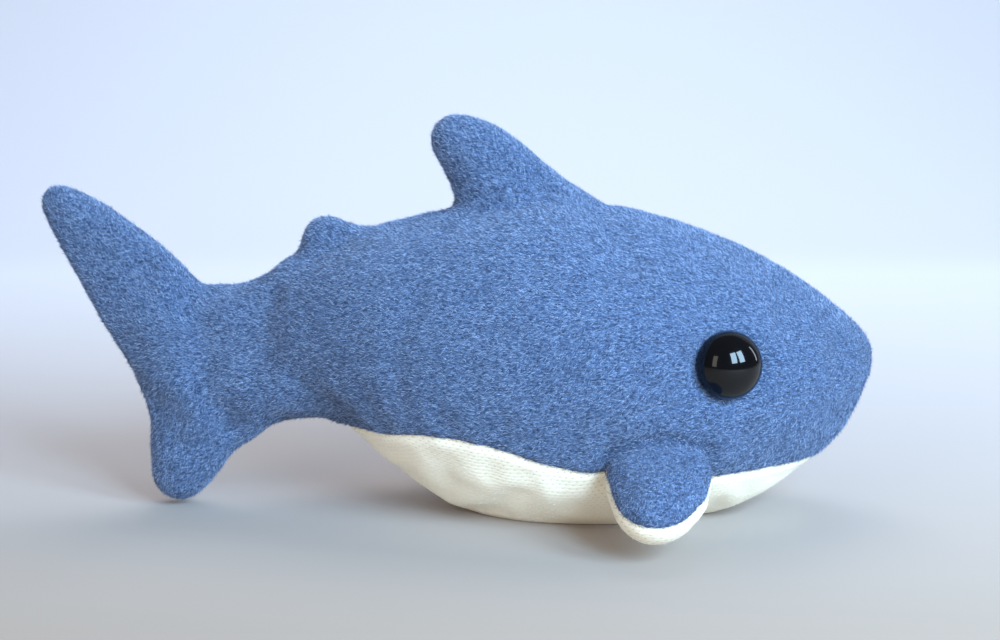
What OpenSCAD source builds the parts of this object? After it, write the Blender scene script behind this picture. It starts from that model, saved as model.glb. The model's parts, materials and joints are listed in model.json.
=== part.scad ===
// Sewn and stuffed toy shark: knitted cloth panels over fibre stuffing,
// with snap-in plastic eyes and soft fins and tail that flex and spring back.
// Nose along +X, left side along +Y, resting on its belly at z = 0.

/* [Body] */
// Overall length, from the nose to the tip of the tail
body_length = 230; // [200:5:260]
// Width of the stuffed body, as a share of the standard shape
plumpness = 1; // [0.92:0.02:1.04]
// Thickness of the knitted cloth
cloth_t = 1.4; // [1:0.1:1.8]
// Room between the cloth and the stuffing, where the sewing thread lies
lining_gap = 1; // [0.9:0.1:1.2]

/* [Eyes] */
// Diameter of the eye's glossy dome
eye_d = 18; // [14:1:20]
// Height of the dome above its rim
eye_dome_h = 7.6; // [5:0.2:9]
// Thickness of the dome's rim
eye_rim_t = 1; // [0.6:0.1:1.6]
// How deep the rim is pulled into the cloth
eye_sink = 0.7; // [0.4:0.1:0.8]
// Diameter of the eye's shank, without its ribs
shank_d = 4.4; // [3.6:0.2:5]
// Length of the shank below the rim
shank_len = 15; // [12:1:18]
// Diameter of the locking washer inside the head
washer_d = 17; // [14:1:19]
// Thickness of the locking washer
washer_t = 1.5; // [1.2:0.1:2]

/* [Fins and tail] */
// Angle of the side fins below the horizontal, in degrees
fin_droop = 22; // [14:1:26]
// Furthest that a side fin flexes up, in degrees
fin_flex = 25; // [10:5:25]
// Furthest that the tail bends to each side, in degrees
tail_bend = 20; // [10:5:20]
// Furthest that the back fin leans to each side, in degrees
back_fin_lean = 20; // [10:5:20]
// Clearance between two soft parts that move against each other
flex_gap = 0.35; // [0.3:0.05:0.6]

/* [Sewing] */
// Diameter of the sewing thread
thread_d = 0.4; // [0.3:0.05:0.4]
// Share of each stitch's pitch that is thread
stitch_share = 0.75; // [0.5:0.05:0.9]

/* [Hidden] */

LEFT = 1;
RIGHT = -1;
blue_cloth = "#5b7fb5";
cream_cloth = "#ece5d2";
fibre = "#f4f4f0";
blue_thread = "#3f5f92";
cream_thread = "#d8cfb8";
k = body_length / 230;

// Trunk: one row for each station along the body, with
// x, top, bottom, half width, and height of the seam between side and belly.
trunk_rows = k * [
    [-73, 55, 31, 7, 20],
    [-66, 60.5, 25, 9.5, 18],
    [-60, 62.8, 21, 10.5, 17],
    [-52, 66, 24.3, 12.8, 19],
    [-44, 69.5, 26, 16, 22],
    [-36, 73, 26.3, 20, 24],
    [-28, 77, 22.5, 24, 24.6],
    [-16, 80.3, 13, 29.5, 24.2],
    [-2, 83.5, 3.5, 34, 23.6],
    [8, 85, -0.5, 36.5, 22.6],
    [22, 86, -2.5, 39, 20.4],
    [36, 85.3, -2.8, 40, 17.6],
    [50, 82.8, -2.6, 39.3, 16],
    [62, 79.3, -1.4, 37.2, 15.8],
    [74, 75, 1.8, 33.5, 16.2],
    [84, 70.3, 6, 29, 16.6],
    [94, 64.3, 12, 23, 16.9],
    [102, 58.7, 17.8, 17.6, 16.4],
    [108, 53.9, 26, 12.6, 18],
    [112, 49.8, 34, 8.4, 24],
    [114, 47.2, 39, 4.8, 30],
    [114.8, 45.2, 41.6, 2.2, 34]
];
nose = k * [115, 0, 43.4];
round_above = 2.1;   // superellipse power of a section's upper half
round_below = 2.3;   // and of its lower half, which is fuller
trunk_sides = 24;
trunk_rings = 31;
seam_points = 23;

// Lobes: x, z, radius in the plane of the fin, and half thickness.
tail_rows = k * [
    [-110, 86.2, 5, 4.2],
    [-103.3, 79.2, 8.4, 5.4],
    [-94.9, 69.7, 11.2, 6.8],
    [-86, 58, 13.9, 8.6],
    [-77.6, 43.5, 13.9, 9.6],
    [-74.3, 27.3, 12.3, 8.8],
    [-75.7, 17.6, 11.2, 7.8],
    [-78.8, 9.5, 8.1, 6.4]
];
back_fin_rows = k * [
    [-0.7, 103.2, 7.2, 5.6],
    [6, 98.1, 10.3, 6.8],
    [13, 88.7, 13.4, 7.8],
    [19.1, 81.4, 14.8, 9],
    [28.3, 76.1, 14.8, 9]
];
small_fin_rows = k * [
    [-36.9, 75.8, 6.7, 5],
    [-34.5, 72.4, 8.8, 6.4],
    [-31.6, 68.6, 11.7, 8]
];
// Side fin, in its own plane: x, distance out from the hinge, radius, half thickness.
side_fin_rows = k * [
    [1, -3, 14, 8],
    [0.4, 3, 13.9, 8],
    [-0.8, 9, 12, 7.8],
    [-2, 13.5, 9.6, 7.2]
];
lobe_steps = 2;
side_fin_steps = 3;
lobe_sides = 16;

// Where the soft parts flex.
knuckle_sides = 40;
half_facet = 180 / knuckle_sides;
tail_x = -56 * k;
tail_knuckle = 12.6 * k;
back_fin_z = 88 * k;
back_fin_knuckle = 8 * k;
back_fin_span = k * [0, 31.5];
back_fin_room = k * [-1, 33];
side_fin_at = k * [52, 38.4, 18.4];
side_fin_knuckle = 8 * k;
side_fin_chord = 28 * k;

// The eye's place, as a station along the trunk and an angle round it.
eye_station = 13.75;
eye_angle = 10.5;
washer_depth = cloth_t - eye_sink + 1.5;
shank_ribs = 4;
rib_h = 0.5;

facet_sag = 0.3;     // how far a flat facet lies inside the smooth surface
thread_inset = cloth_t + (lining_gap + facet_sag) / 2;
edge_sag = 0.02;     // the same at a lobe's edge, as a share of its radius
stuffing_inset = cloth_t + lining_gap;
far = 2 * body_length;

// ---- Smooth rows and surfaces ----

function smooth(a, b, c, d, t) =
    0.5 * (2 * b + (c - a) * t + (2 * a - 5 * b + 4 * c - d) * t * t
        + (3 * b - a - 3 * c + d) * t * t * t);

function row_at(rows, u) =
    let (last = len(rows) - 1, i = max(0, min(floor(u), last - 1)))
    smooth(rows[max(i - 1, 0)], rows[i], rows[i + 1], rows[min(i + 2, last)], u - i);

function signed_power(v, p) = sign(v) * pow(abs(v), p);

function trunk_section(u, angle) =
    let (
        r = row_at(trunk_rows, u),
        p = 2 / (sin(angle) >= 0 ? round_above : round_below)
    )
    [
        r[0],
        plumpness * r[3] * signed_power(cos(angle), p),
        (r[1] + r[2]) / 2 + (r[1] - r[2]) / 2 * signed_power(sin(angle), p)
    ];

function trunk_normal(u, angle) =
    let (
        along = trunk_section(u + 0.05, angle) - trunk_section(u - 0.05, angle),
        around = trunk_section(u, angle + 1) - trunk_section(u, angle - 1),
        n = cross(around, along)
    )
    n / norm(n);

// A point of the trunk's surface, moved in by inset and flattened where it rests.
function trunk_point(u, angle, inset) =
    let (p = trunk_section(u, angle) - inset * trunk_normal(u, angle))
    [p[0], p[1], max(p[2], inset)];

// The angle round the trunk at which its surface is at the seam's height.
function seam_angle(u) =
    let (
        r = row_at(trunk_rows, u),
        share = ((r[1] + r[2]) / 2 - r[4]) / ((r[1] - r[2]) / 2)
    )
    -asin(pow(share, round_below / 2));

module trunk(inset) {
    last_row = len(trunk_rows) - 1;
    rings = trunk_rings;
    n = trunk_sides;
    points = concat(
        [for (i = [0:rings], j = [0:n - 1])
            trunk_point(i * last_row / rings, 360 * (j + 0.5) / n, inset)],
        [[trunk_rows[0][0], 0, (trunk_rows[0][1] + trunk_rows[0][2]) / 2],
            nose - [inset, 0, 0]]
    );
    walls = [
        for (i = [0:rings - 1], j = [0:n - 1])
            let (a = i * n + j, b = i * n + (j + 1) % n)
            each [[a, a + n, b], [b, a + n, b + n]]
    ];
    rear = [for (j = [0:n - 1]) [j, (j + 1) % n, (rings + 1) * n]];
    front = [
        for (j = [0:n - 1])
            [rings * n + (j + 1) % n, rings * n + j, (rings + 1) * n + 1]
    ];
    polyhedron(points, concat(walls, rear, front), convexity = 6);
}

// ---- Lobes: a chain of flattened balls, wrapped ----

module flat_ball(s, inset) {
    translate([s[0], s[1], 0])
        scale([1, 1, (s[3] - inset) / (s[2] - inset)])
            sphere(s[2] - inset, $fn = lobe_sides);
}

module lobe(rows, steps, inset) {
    for (i = [0:(len(rows) - 1) * steps - 1])
        hull() {
            flat_ball(row_at(rows, i / steps), inset);
            flat_ball(row_at(rows, (i + 1) / steps), inset);
        }
}

module upright_lobe(rows, inset) {
    rotate([90, 0, 0])
        lobe(rows, lobe_steps, inset);
}

// The whole toy but for its side fins, moved in by inset.
module flesh(inset) {
    trunk(inset);
    upright_lobe(tail_rows, inset);
    upright_lobe(back_fin_rows, inset);
    upright_lobe(small_fin_rows, inset);
}

module skin() {
    difference() {
        flesh(0);
        flesh(cloth_t);
    }
}

// ---- Zones that share the toy out between the parts that flex ----

module half(side) {
    translate([-far / 2, side == LEFT ? 0 : -far, -far / 2])
        cube([far, far, far]);
}

module tail_zone() {
    translate([tail_x - far, -far / 2, -far / 2])
        cube([far, far, far]);
    translate([tail_x, 0, -far / 2])
        rotate([0, 0, half_facet])
            cylinder(r = tail_knuckle, h = far, $fn = knuckle_sides);
}

module tail_room() {
    end = tail_x + tail_knuckle * sin(tail_bend) + flex_gap;
    translate([end - far, -far / 2, -far / 2])
        cube([far, far, far]);
    translate([tail_x, 0, -far / 2])
        rotate([0, 0, half_facet])
            cylinder(r = tail_knuckle + flex_gap, h = far, $fn = knuckle_sides);
}

module along_x(r, from, to) {
    translate([from, 0, 0])
        rotate([0, 90, 0])
            rotate([0, 0, half_facet])
                cylinder(r = r, h = to - from, $fn = knuckle_sides);
}

module back_fin_zone() {
    translate([back_fin_room[1] - flex_gap - far / 8, -far / 2, back_fin_z])
        cube([far / 8, far, far]);
    translate([0, 0, back_fin_z])
        along_x(back_fin_knuckle, back_fin_span[0], back_fin_span[1]);
}

module back_fin_clearance() {
    low = back_fin_z - back_fin_knuckle * sin(back_fin_lean) - flex_gap;
    translate([back_fin_room[1] - far / 8, -far / 2, low])
        cube([far / 8, far, far]);
    translate([0, 0, back_fin_z])
        along_x(back_fin_knuckle + flex_gap, back_fin_room[0], back_fin_room[1]);
}

module place_side_fin(side) {
    mirror([0, side == LEFT ? 0 : 1, 0])
        translate(side_fin_at)
            rotate([-fin_droop, 0, 0])
                children();
}

module side_fin_zone() {
    translate([-far / 2, 0, -far / 2])
        cube([far, far, far]);
    along_x(side_fin_knuckle, -side_fin_chord / 2 + 1, side_fin_chord / 2 - 1);
}

module side_fin_room() {
    half_room = side_fin_chord / 2 + 2 * flex_gap;
    along_x(side_fin_knuckle + flex_gap, -half_room, half_room);
}

module moving_room() {
    tail_room();
    back_fin_clearance();
    for (side = [LEFT, RIGHT])
        place_side_fin(side) side_fin_room();
}

// Everything below the seams between the side panels and the belly.
module belly_block() {
    last_row = len(trunk_rows) - 1;
    edge = [
        for (i = [0:seam_points - 1])
            let (r = row_at(trunk_rows, (i + 0.3) * last_row / seam_points))
            [r[0], r[4]]
    ];
    ends = [
        [far / 4, edge[seam_points - 1][1]],
        [far / 4, -far / 8],
        [-far / 4, -far / 8],
        [-far / 4, edge[0][1]]
    ];
    rotate([90, 0, 0])
        linear_extrude(height = far, center = true)
            polygon(concat(edge, ends));
}

// ---- Eyes ----

module on_head(side) {
    angle = side == LEFT ? eye_angle : 180 - eye_angle;
    n = trunk_normal(eye_station, angle);
    translate(trunk_point(eye_station, angle, eye_sink))
        rotate([0, acos(n[2]), atan2(n[1], n[0])])
            children();
}

module eye(side) {
    r = eye_d / 2;
    shank_r = shank_d / 2;
    dome = [for (t = [0:6:90]) [r * cos(t), eye_rim_t + eye_dome_h * sin(t)]];
    rib_top = -washer_depth - washer_t - 0.3;
    rib_pitch = (shank_len + rib_top) / (shank_ribs + 1);
    ribs = [
        for (i = [shank_ribs - 1:-1:0])
            let (z = rib_top - i * rib_pitch)
            each [
                [shank_r, z - rib_pitch / 2], [shank_r + rib_h, z], [shank_r, z]
            ]
    ];
    tip = [[0, -shank_len], [shank_r * 0.7, -shank_len], [shank_r, -shank_len + 1]];
    color("#0b0b0d")
        on_head(side)
            rotate_extrude($fn = 96)
                polygon(concat(tip, ribs, [[shank_r, 0], [r - 0.5, 0], [r, 0.4]], dome));
}

module eye_washer(side) {
    color("#e9e9e4")
        on_head(side)
            translate([0, 0, -washer_depth - washer_t])
                difference() {
                    cylinder(d = washer_d, h = washer_t, $fn = 72);
                    translate([0, 0, -1])
                        cylinder(d = shank_d + 0.1, h = washer_t + 2, $fn = 48);
                }
}

// What the eye takes out of the cloth: a pressed seat and the shank's hole.
module eye_seat(side) {
    on_head(side) {
        cylinder(d = eye_d + 0.5, h = eye_dome_h, $fn = 48);
        translate([0, 0, -2 * cloth_t - 2])
            cylinder(d = shank_d + 0.6, h = 2 * cloth_t + 4, $fn = 24);
    }
}

// And out of the stuffing: room for the washer and the ribbed shank.
module eye_pocket(side) {
    depth = washer_depth + washer_t + 0.3;
    on_head(side) {
        translate([0, 0, -depth])
            cylinder(d = washer_d + 1, h = depth + 2, $fn = 48);
        translate([0, 0, -shank_len - 1])
            cylinder(d = shank_d + 2 * rib_h + 0.8, h = shank_len, $fn = 24);
    }
}

// ---- Cloth and stuffing ----

module side_panel(side) {
    color(blue_cloth)
        difference() {
            intersection() {
                skin();
                half(side);
            }
            belly_block();
            moving_room();
            eye_seat(side);
        }
}

module belly_panel() {
    color(cream_cloth)
        difference() {
            intersection() {
                skin();
                belly_block();
            }
            moving_room();
        }
}

module body_stuffing() {
    color(fibre)
        difference() {
            flesh(stuffing_inset);
            moving_room();
            for (side = [LEFT, RIGHT])
                eye_pocket(side);
        }
}

module tail_panel(side) {
    color(blue_cloth)
        intersection() {
            skin();
            tail_zone();
            half(side);
        }
}

module tail_stuffing() {
    color(fibre)
        intersection() {
            flesh(stuffing_inset);
            tail_zone();
        }
}

module back_fin_panel(side) {
    color(blue_cloth)
        intersection() {
            skin();
            back_fin_zone();
            half(side);
        }
}

module back_fin_stuffing() {
    color(fibre)
        intersection() {
            flesh(stuffing_inset);
            back_fin_zone();
        }
}

module side_fin_cloth(side, tint, from, to) {
    color(tint)
        place_side_fin(side)
            intersection() {
                difference() {
                    lobe(side_fin_rows, side_fin_steps, 0);
                    lobe(side_fin_rows, side_fin_steps, cloth_t);
                }
                side_fin_zone();
                translate([-far / 2, -far / 2, from])
                    cube([far, far, to - from]);
            }
}

module side_fin_top(side) {
    side_fin_cloth(side, blue_cloth, 0, far);
}

module side_fin_underside(side) {
    side_fin_cloth(side, cream_cloth, -far, 0);
}

module side_fin_stuffing(side) {
    color(fibre)
        place_side_fin(side)
            intersection() {
                lobe(side_fin_rows, side_fin_steps, stuffing_inset);
                side_fin_zone();
            }
}

// ---- Sewing thread, lying just inside the cloth along each seam ----

module stitch(a, b) {
    v = b - a;
    length = norm(v) * stitch_share;
    translate((a + b) / 2)
        rotate([0, acos(v[2] / norm(v)), atan2(v[1], v[0])])
            cylinder(d = thread_d, h = length, center = true, $fn = 16);
}

// Stitches along the trunk from station u1 to u2. Each end's angle is given by name.
module trunk_stitches(u1, u2, count, line) {
    function angle_at(u) =
        line == "top" ? 90
            : line == "bottom" ? -90
            : line == "left" ? seam_angle(u)
            : 180 - seam_angle(u);
    du = (u2 - u1) / count;
    for (i = [0:count - 1])
        let (a = u1 + i * du, b = u1 + (i + 1) * du)
            stitch(
                trunk_point(a, angle_at(a), thread_inset),
                trunk_point(b, angle_at(b), thread_inset)
            );
}

// The way from a lobe's spine to its edge, where the wrap is tangent to two balls.
function edge_way(a, b, side) =
    let (
        v = [b[0] - a[0], b[1] - a[1]],
        d = norm(v),
        c = (a[2] - b[2]) / d,
        s = side * sqrt(1 - c * c)
    )
    [v[0] / d * c - v[1] / d * s, v[1] / d * c + v[0] / d * s];

// The two ends of the stitch along one edge of a lobe, from step i.
function edge_stitch(rows, steps, i, side) =
    let (
        a = row_at(rows, i / steps),
        b = row_at(rows, (i + 1) / steps),
        w = edge_way(a, b, side)
    )
    [
        [a[0], a[1]] + w * (a[2] * (1 - edge_sag) - thread_inset),
        [b[0], b[1]] + w * (b[2] * (1 - edge_sag) - thread_inset)
    ];

function upright(p) = [p[0], 0, p[1]];

module lobe_stitches(rows, from, to, side) {
    for (i = [from:to]) {
        ends = edge_stitch(rows, lobe_steps, i, side);
        stitch(upright(ends[0]), upright(ends[1]));
    }
}

module tail_seam_stitches() {
    last = (len(tail_rows) - 1) * lobe_steps - 1;
    color(blue_thread) {
        lobe_stitches(tail_rows, 0, last, RIGHT);
        lobe_stitches(tail_rows, 0, 4, LEFT);
        lobe_stitches(tail_rows, last - 1, last, LEFT);
    }
}

module back_fin_seam_stitches() {
    color(blue_thread) {
        lobe_stitches(back_fin_rows, 0, 3, LEFT);
        lobe_stitches(back_fin_rows, 0, 2, RIGHT);
    }
}

module side_fin_seam_stitches(side) {
    steps = (len(side_fin_rows) - 1) * side_fin_steps;
    color(cream_thread)
        place_side_fin(side)
            for (i = [side_fin_steps:steps - 1], edge = [LEFT, RIGHT]) {
                ends = edge_stitch(side_fin_rows, side_fin_steps, i, edge);
                stitch([ends[0][0], ends[0][1], 0], [ends[1][0], ends[1][1], 0]);
            }
}

module back_seam_stitches() {
    color(blue_thread) {
        trunk_stitches(12.4, 19, 24, "top");
        trunk_stitches(6.7, 7.6, 5, "top");
    }
}

module stalk_seam_stitches() {
    color(blue_thread)
        trunk_stitches(3.2, 5.4, 8, "bottom");
}

module closing_stitches() {
    color(cream_thread)
        trunk_stitches(7.4, 9.4, 14, "left");
}

module belly_seam_stitches(side) {
    line = side == LEFT ? "left" : "right";
    color(cream_thread) {
        trunk_stitches(6.4, side == LEFT ? 7.3 : 10.9, side == LEFT ? 5 : 26, line);
        if (side == LEFT)
            trunk_stitches(9.5, 10.9, 10, line);
        trunk_stitches(13.5, 16.4, 14, line);
    }
}

side_panel(LEFT);  // left_side_panel
side_panel(RIGHT);  // right_side_panel
belly_panel();
body_stuffing();
eye(LEFT);  // left_eye
eye(RIGHT);  // right_eye
eye_washer(LEFT);  // left_eye_washer
eye_washer(RIGHT);  // right_eye_washer
back_seam_stitches();
stalk_seam_stitches();
closing_stitches();
belly_seam_stitches(LEFT);  // left_belly_seam_stitches
belly_seam_stitches(RIGHT);  // right_belly_seam_stitches
tail_panel(LEFT);  // tail_left_panel
tail_panel(RIGHT);  // tail_right_panel
tail_stuffing();
tail_seam_stitches();
back_fin_panel(LEFT);  // back_fin_left_panel
back_fin_panel(RIGHT);  // back_fin_right_panel
back_fin_stuffing();
back_fin_seam_stitches();
side_fin_top(LEFT);  // left_fin_top
side_fin_underside(LEFT);  // left_fin_underside
side_fin_stuffing(LEFT);  // left_fin_stuffing
side_fin_seam_stitches(LEFT);  // left_fin_seam_stitches
side_fin_top(RIGHT);  // right_fin_top
side_fin_underside(RIGHT);  // right_fin_underside
side_fin_stuffing(RIGHT);  // right_fin_stuffing
side_fin_seam_stitches(RIGHT);  // right_fin_seam_stitches
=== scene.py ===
import json
import math

import bpy
import numpy as np
import openvdb
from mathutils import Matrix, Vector
from mathutils.bvhtree import BVHTree
from mathutils.kdtree import KDTree


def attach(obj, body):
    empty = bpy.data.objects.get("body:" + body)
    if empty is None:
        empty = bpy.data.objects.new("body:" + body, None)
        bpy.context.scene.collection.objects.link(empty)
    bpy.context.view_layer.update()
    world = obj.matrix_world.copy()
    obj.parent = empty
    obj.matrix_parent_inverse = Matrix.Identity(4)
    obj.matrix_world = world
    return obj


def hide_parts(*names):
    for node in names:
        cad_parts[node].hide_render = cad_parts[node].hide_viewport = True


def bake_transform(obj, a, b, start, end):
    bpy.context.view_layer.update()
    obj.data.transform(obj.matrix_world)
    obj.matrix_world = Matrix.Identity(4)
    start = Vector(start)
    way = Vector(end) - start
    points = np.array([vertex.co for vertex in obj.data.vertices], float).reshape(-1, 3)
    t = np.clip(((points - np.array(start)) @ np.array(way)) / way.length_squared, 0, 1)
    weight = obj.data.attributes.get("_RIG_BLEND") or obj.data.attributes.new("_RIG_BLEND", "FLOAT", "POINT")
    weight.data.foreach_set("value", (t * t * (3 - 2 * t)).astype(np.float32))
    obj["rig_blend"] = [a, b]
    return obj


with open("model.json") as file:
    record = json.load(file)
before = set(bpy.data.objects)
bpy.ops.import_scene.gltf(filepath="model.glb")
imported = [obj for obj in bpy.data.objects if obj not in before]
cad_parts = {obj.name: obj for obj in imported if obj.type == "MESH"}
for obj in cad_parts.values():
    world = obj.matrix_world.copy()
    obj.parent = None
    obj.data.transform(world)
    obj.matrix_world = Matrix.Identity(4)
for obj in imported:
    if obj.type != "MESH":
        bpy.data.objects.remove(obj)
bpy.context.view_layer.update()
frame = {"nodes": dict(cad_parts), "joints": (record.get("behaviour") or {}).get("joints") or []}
nodes = frame["nodes"]
hinges = {joint["name"]: joint for joint in frame["joints"]}
tailPivot = np.array(hinges["tail_bend"]["pos_m"])
mm = 0.001
sides = {"left": 1, "right": -1}


# Camera, lamps and floor

cameraSettings = {"target": (11.6 * mm, 0, 53 * mm), "distance": 440 * mm, "rise": 10, "lens": 56.7}
studio = {
    # painted light: the floor colour runs from floorNear, darker and warmer, to floorFar, brighter and
    # cooler, as painted shade in front and painted light toward the back
    "floorNear": (0.41, 0.34, 0.29),
    "floorFar": (0.82, 0.84, 0.92),
    "floorLightRamp": (-0.10, 0.45),  # from near to far
    "floorSize": 4.0,
    "sweepStart": 0.55,
    "sweepRadius": 0.5,
    "skyColour": (0.84, 0.91, 1.0),
    "skyStrength": 0.52,
    "skyInGloss": 0.12,
    "lampAim": (0, 0, 40 * mm),
}
# each lamp: place, size, power, colour
lamps = {
    "windowLeftPane": ((0.30, -0.55, 0.36), (0.18, 0.34), 4.7, (0.50, 0.76, 1.0)),
    "windowRightPane": ((0.50, -0.41, 0.36), (0.18, 0.34), 4.7, (0.50, 0.76, 1.0)),
    "sideWindow": ((-0.60, -0.80, 0.40), (0.30, 0.6), 1.4, (1.0, 0.90, 0.80)),
    "rightSliver": ((0.62, 0.10, 0.24), (0.05, 0.30), 0.35, (0.80, 0.90, 1.0)),
    "lowFill": ((0.05, -0.90, 0.10), (0.8, 0.2), 0.85, (1.0, 0.87, 0.68)),
    "backGlow": ((0.10, 0.40, 0.85), (0.7, 0.5), 4.3, (0.90, 0.94, 1.0)),
}


def lookAt(thing, place, target):
    away = Vector(place) - Vector(target)
    thing.location = place
    thing.rotation_euler = away.to_track_quat("Z", "Y").to_euler()


def makeCamera():
    rise = math.radians(cameraSettings["rise"])
    target = Vector(cameraSettings["target"])
    away = Vector((0, -math.cos(rise), math.sin(rise))) * cameraSettings["distance"]
    data = bpy.data.cameras.new("camera")
    data.lens = cameraSettings["lens"]
    data.clip_start = 0.01
    camera = addObject("camera", data)
    lookAt(camera, target + away, target)
    bpy.context.scene.camera = camera


def makeLamps():
    for name, (place, size, power, colour) in lamps.items():
        data = bpy.data.lights.new(name, "AREA")
        data.shape = "RECTANGLE"
        data.size, data.size_y = size
        data.energy = power
        data.color = colour
        lamp = addObject(name, data)
        lookAt(lamp, place, studio["lampAim"])
        lamp.visible_glossy = name not in ("backGlow", "lowFill")
    world = bpy.data.worlds.new("studioAir")
    world.use_nodes = True
    tree = world.node_tree
    # the room looks darker in polished things than it lights the cloth
    glossy = node(tree, "ShaderNodeLightPath").outputs["Is Glossy Ray"]
    feed(tree.nodes["Background"], {
        "Color": (*studio["skyColour"], 1),
        "Strength": rangeNode(tree, glossy, 0, 1, studio["skyStrength"], studio["skyInGloss"]),
    })
    bpy.context.scene.world = world


def makeFloor():
    half, start, radius = studio["floorSize"] / 2, studio["sweepStart"], studio["sweepRadius"]
    steps = 16
    line = [(-half, 0.0), (start, 0.0)]
    for step in range(1, steps + 1):
        turn = math.pi / 2 * step / steps
        line.append((start + radius * math.sin(turn), radius * (1 - math.cos(turn))))
    line.append((start + radius, half))
    points = [(x, y, z) for y, z in line for x in (-half, half)]
    strips = [(2 * i, 2 * i + 1, 2 * i + 3, 2 * i + 2) for i in range(len(line) - 1)]
    mesh = meshFrom("floor", points, strips)
    material, tree, shader = newMaterial("palePaper")
    # painted light: the floor is darker and warmer in front and brighter and cooler behind, ramped along Y
    split = node(tree, "ShaderNodeSeparateXYZ", {0: objectPlace(tree)})
    away = rangeNode(tree, split.outputs["Y"], *studio["floorLightRamp"])
    feed(shader, {
        "Base Color": mixColour(tree, away, studio["floorNear"], studio["floorFar"]),
        "Roughness": 0.75,
        "Specular IOR Level": 0.25,
    })
    mesh.materials.append(material)
    addObject("floor", mesh)


# Meshes as arrays of numbers

def readPoints(mesh):
    flat = np.empty(len(mesh.vertices) * 3, np.float32)
    mesh.vertices.foreach_get("co", flat)
    return flat.reshape(-1, 3).astype(float)


def readTriangles(mesh):
    mesh.calc_loop_triangles()
    flat = np.empty(len(mesh.loop_triangles) * 3, np.int32)
    mesh.loop_triangles.foreach_get("vertices", flat)
    return flat.reshape(-1, 3)


def meshFrom(name, points, faces):
    mesh = bpy.data.meshes.new(name)
    points = np.ascontiguousarray(points, np.float32)
    faces = np.ascontiguousarray(faces, np.int32)
    mesh.vertices.add(len(points))
    mesh.vertices.foreach_set("co", points.ravel())
    mesh.loops.add(faces.size)
    mesh.loops.foreach_set("vertex_index", faces.ravel())
    mesh.polygons.add(len(faces))
    starts = np.arange(0, faces.size, faces.shape[1], dtype=np.int32)
    mesh.polygons.foreach_set("loop_start", starts)
    mesh.update(calc_edges=True)
    mesh.shade_smooth()
    return mesh


def addObject(name, data):
    thing = bpy.data.objects.new(name, data)
    bpy.context.scene.collection.objects.link(thing)
    return thing


def putAttribute(mesh, name, kind, values):
    field = "vector" if kind == "FLOAT_VECTOR" else "value"
    attribute = mesh.attributes.new(name, kind, "POINT")
    attribute.data.foreach_set(field, np.ascontiguousarray(values, np.float32).ravel())


def nodeSoup(names):
    points, triangles, count = [], [], 0
    for name in names:
        places = readPoints(nodes[name].data)
        points.append(places)
        triangles.append(readTriangles(nodes[name].data) + count)
        count += len(places)
    return np.vstack(points), np.vstack(triangles)


def distanceTo(names, places):
    points, triangles = nodeSoup(names)
    tree = BVHTree.FromPolygons(points.tolist(), triangles.tolist())
    return np.array([tree.find_nearest(p)[3] for p in places.tolist()])


def searchTree(knots):
    tree = KDTree(len(knots))
    for i, knot in enumerate(knots.tolist()):
        tree.insert(knot, i)
    tree.balance()
    return tree


# From minus on the first cloth to plus on the second, in metres from the line where they meet
def sideOf(nearFirst, nearSecond):
    gap = nearFirst ** 2 - nearSecond ** 2
    return np.sign(gap) * np.sqrt(np.abs(gap))


def vertexNormals(points, triangles):
    a, b, c = (points[triangles[:, i]] for i in range(3))
    across = np.cross(b - a, c - a)
    total = np.zeros_like(points)
    for corner in range(3):
        for axis in range(3):
            total[:, axis] += np.bincount(triangles[:, corner], across[:, axis], len(points))
    return total / np.maximum(np.linalg.norm(total, axis=1, keepdims=True), 1e-12)


def edgesOf(faces):
    turns = faces.shape[1]
    pairs = np.vstack([faces[:, [i, (i + 1) % turns]] for i in range(turns)])
    return np.unique(np.sort(pairs, axis=1), axis=0)


def relaxed(values, edges, rounds):
    count = np.bincount(edges.ravel(), minlength=len(values))
    for _ in range(rounds):
        total = np.bincount(edges[:, 0], values[edges[:, 1]], len(values))
        total += np.bincount(edges[:, 1], values[edges[:, 0]], len(values))
        values = 0.5 * values + 0.5 * total / np.maximum(count, 1)
    return values


def unit(vectors):
    return vectors / np.maximum(np.linalg.norm(vectors, axis=1, keepdims=True), 1e-9)


def softStep(value, start, end):
    t = np.clip((value - start) / (end - start), 0, 1)
    return t * t * (3 - 2 * t)


# Smooth noise from -1 to 1 with lumps about size across
def softNoise(places, size, seed):
    places = places / size + 91.7
    whole = np.floor(places).astype(np.int64)
    part = places - whole
    part = part * part * (3 - 2 * part)
    total = np.zeros(len(places))
    for corner in range(8):
        key = np.full(len(places), seed * 7919, np.int64)
        weight = np.ones(len(places))
        for axis in range(3):
            bit = (corner >> axis) & 1
            key = (key * 31 + (whole[:, axis] + bit) * (73856093, 19349663, 83492791)[axis]) % 2147483647
            weight *= part[:, axis] if bit else 1 - part[:, axis]
        key = (key ^ (key >> 13)) * 1274126177 % 2147483647
        total += weight * (key % 65536 / 32768.0 - 1)
    return total


# The stuffed shape: one smooth surface over all the cloth

shape = {
    "cell": 0.9 * mm,
    "coarse": 4,  # cells to one of the cloth simulation
    "rounding": 2.2 * mm,
    "swell": 0.6 * mm,
    "room": 14 * mm,
    "seal": 1.0 * mm,
    "fillet": 7.5 * mm,
    "filletSpare": 0.25 * mm,
    "filletSoft": 1.2 * mm,
    "filletEnd": (-22 * mm, -10 * mm),
    "hollowSoft": 5 * mm,
    # balls of filling, each placed from the tail's hinge, and its radius
    "hollowFills": (
        ((-11.2 * mm, 0, 14.5 * mm), 5.2 * mm),
        ((11.5 * mm, 0, 23.5 * mm), 4.2 * mm),
        ((-6.0 * mm, 0, -20.5 * mm), 4.6 * mm),
    ),
}
cloths = {
    "side": ["left_side_panel", "right_side_panel"],
    "belly": ["belly_panel"],
    "tail": ["tail_left_panel", "tail_right_panel"],
    "backFin": ["back_fin_left_panel", "back_fin_right_panel"],
    "finTop": ["left_fin_top", "right_fin_top"],
    "finUnder": ["left_fin_underside", "right_fin_underside"],
}
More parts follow.
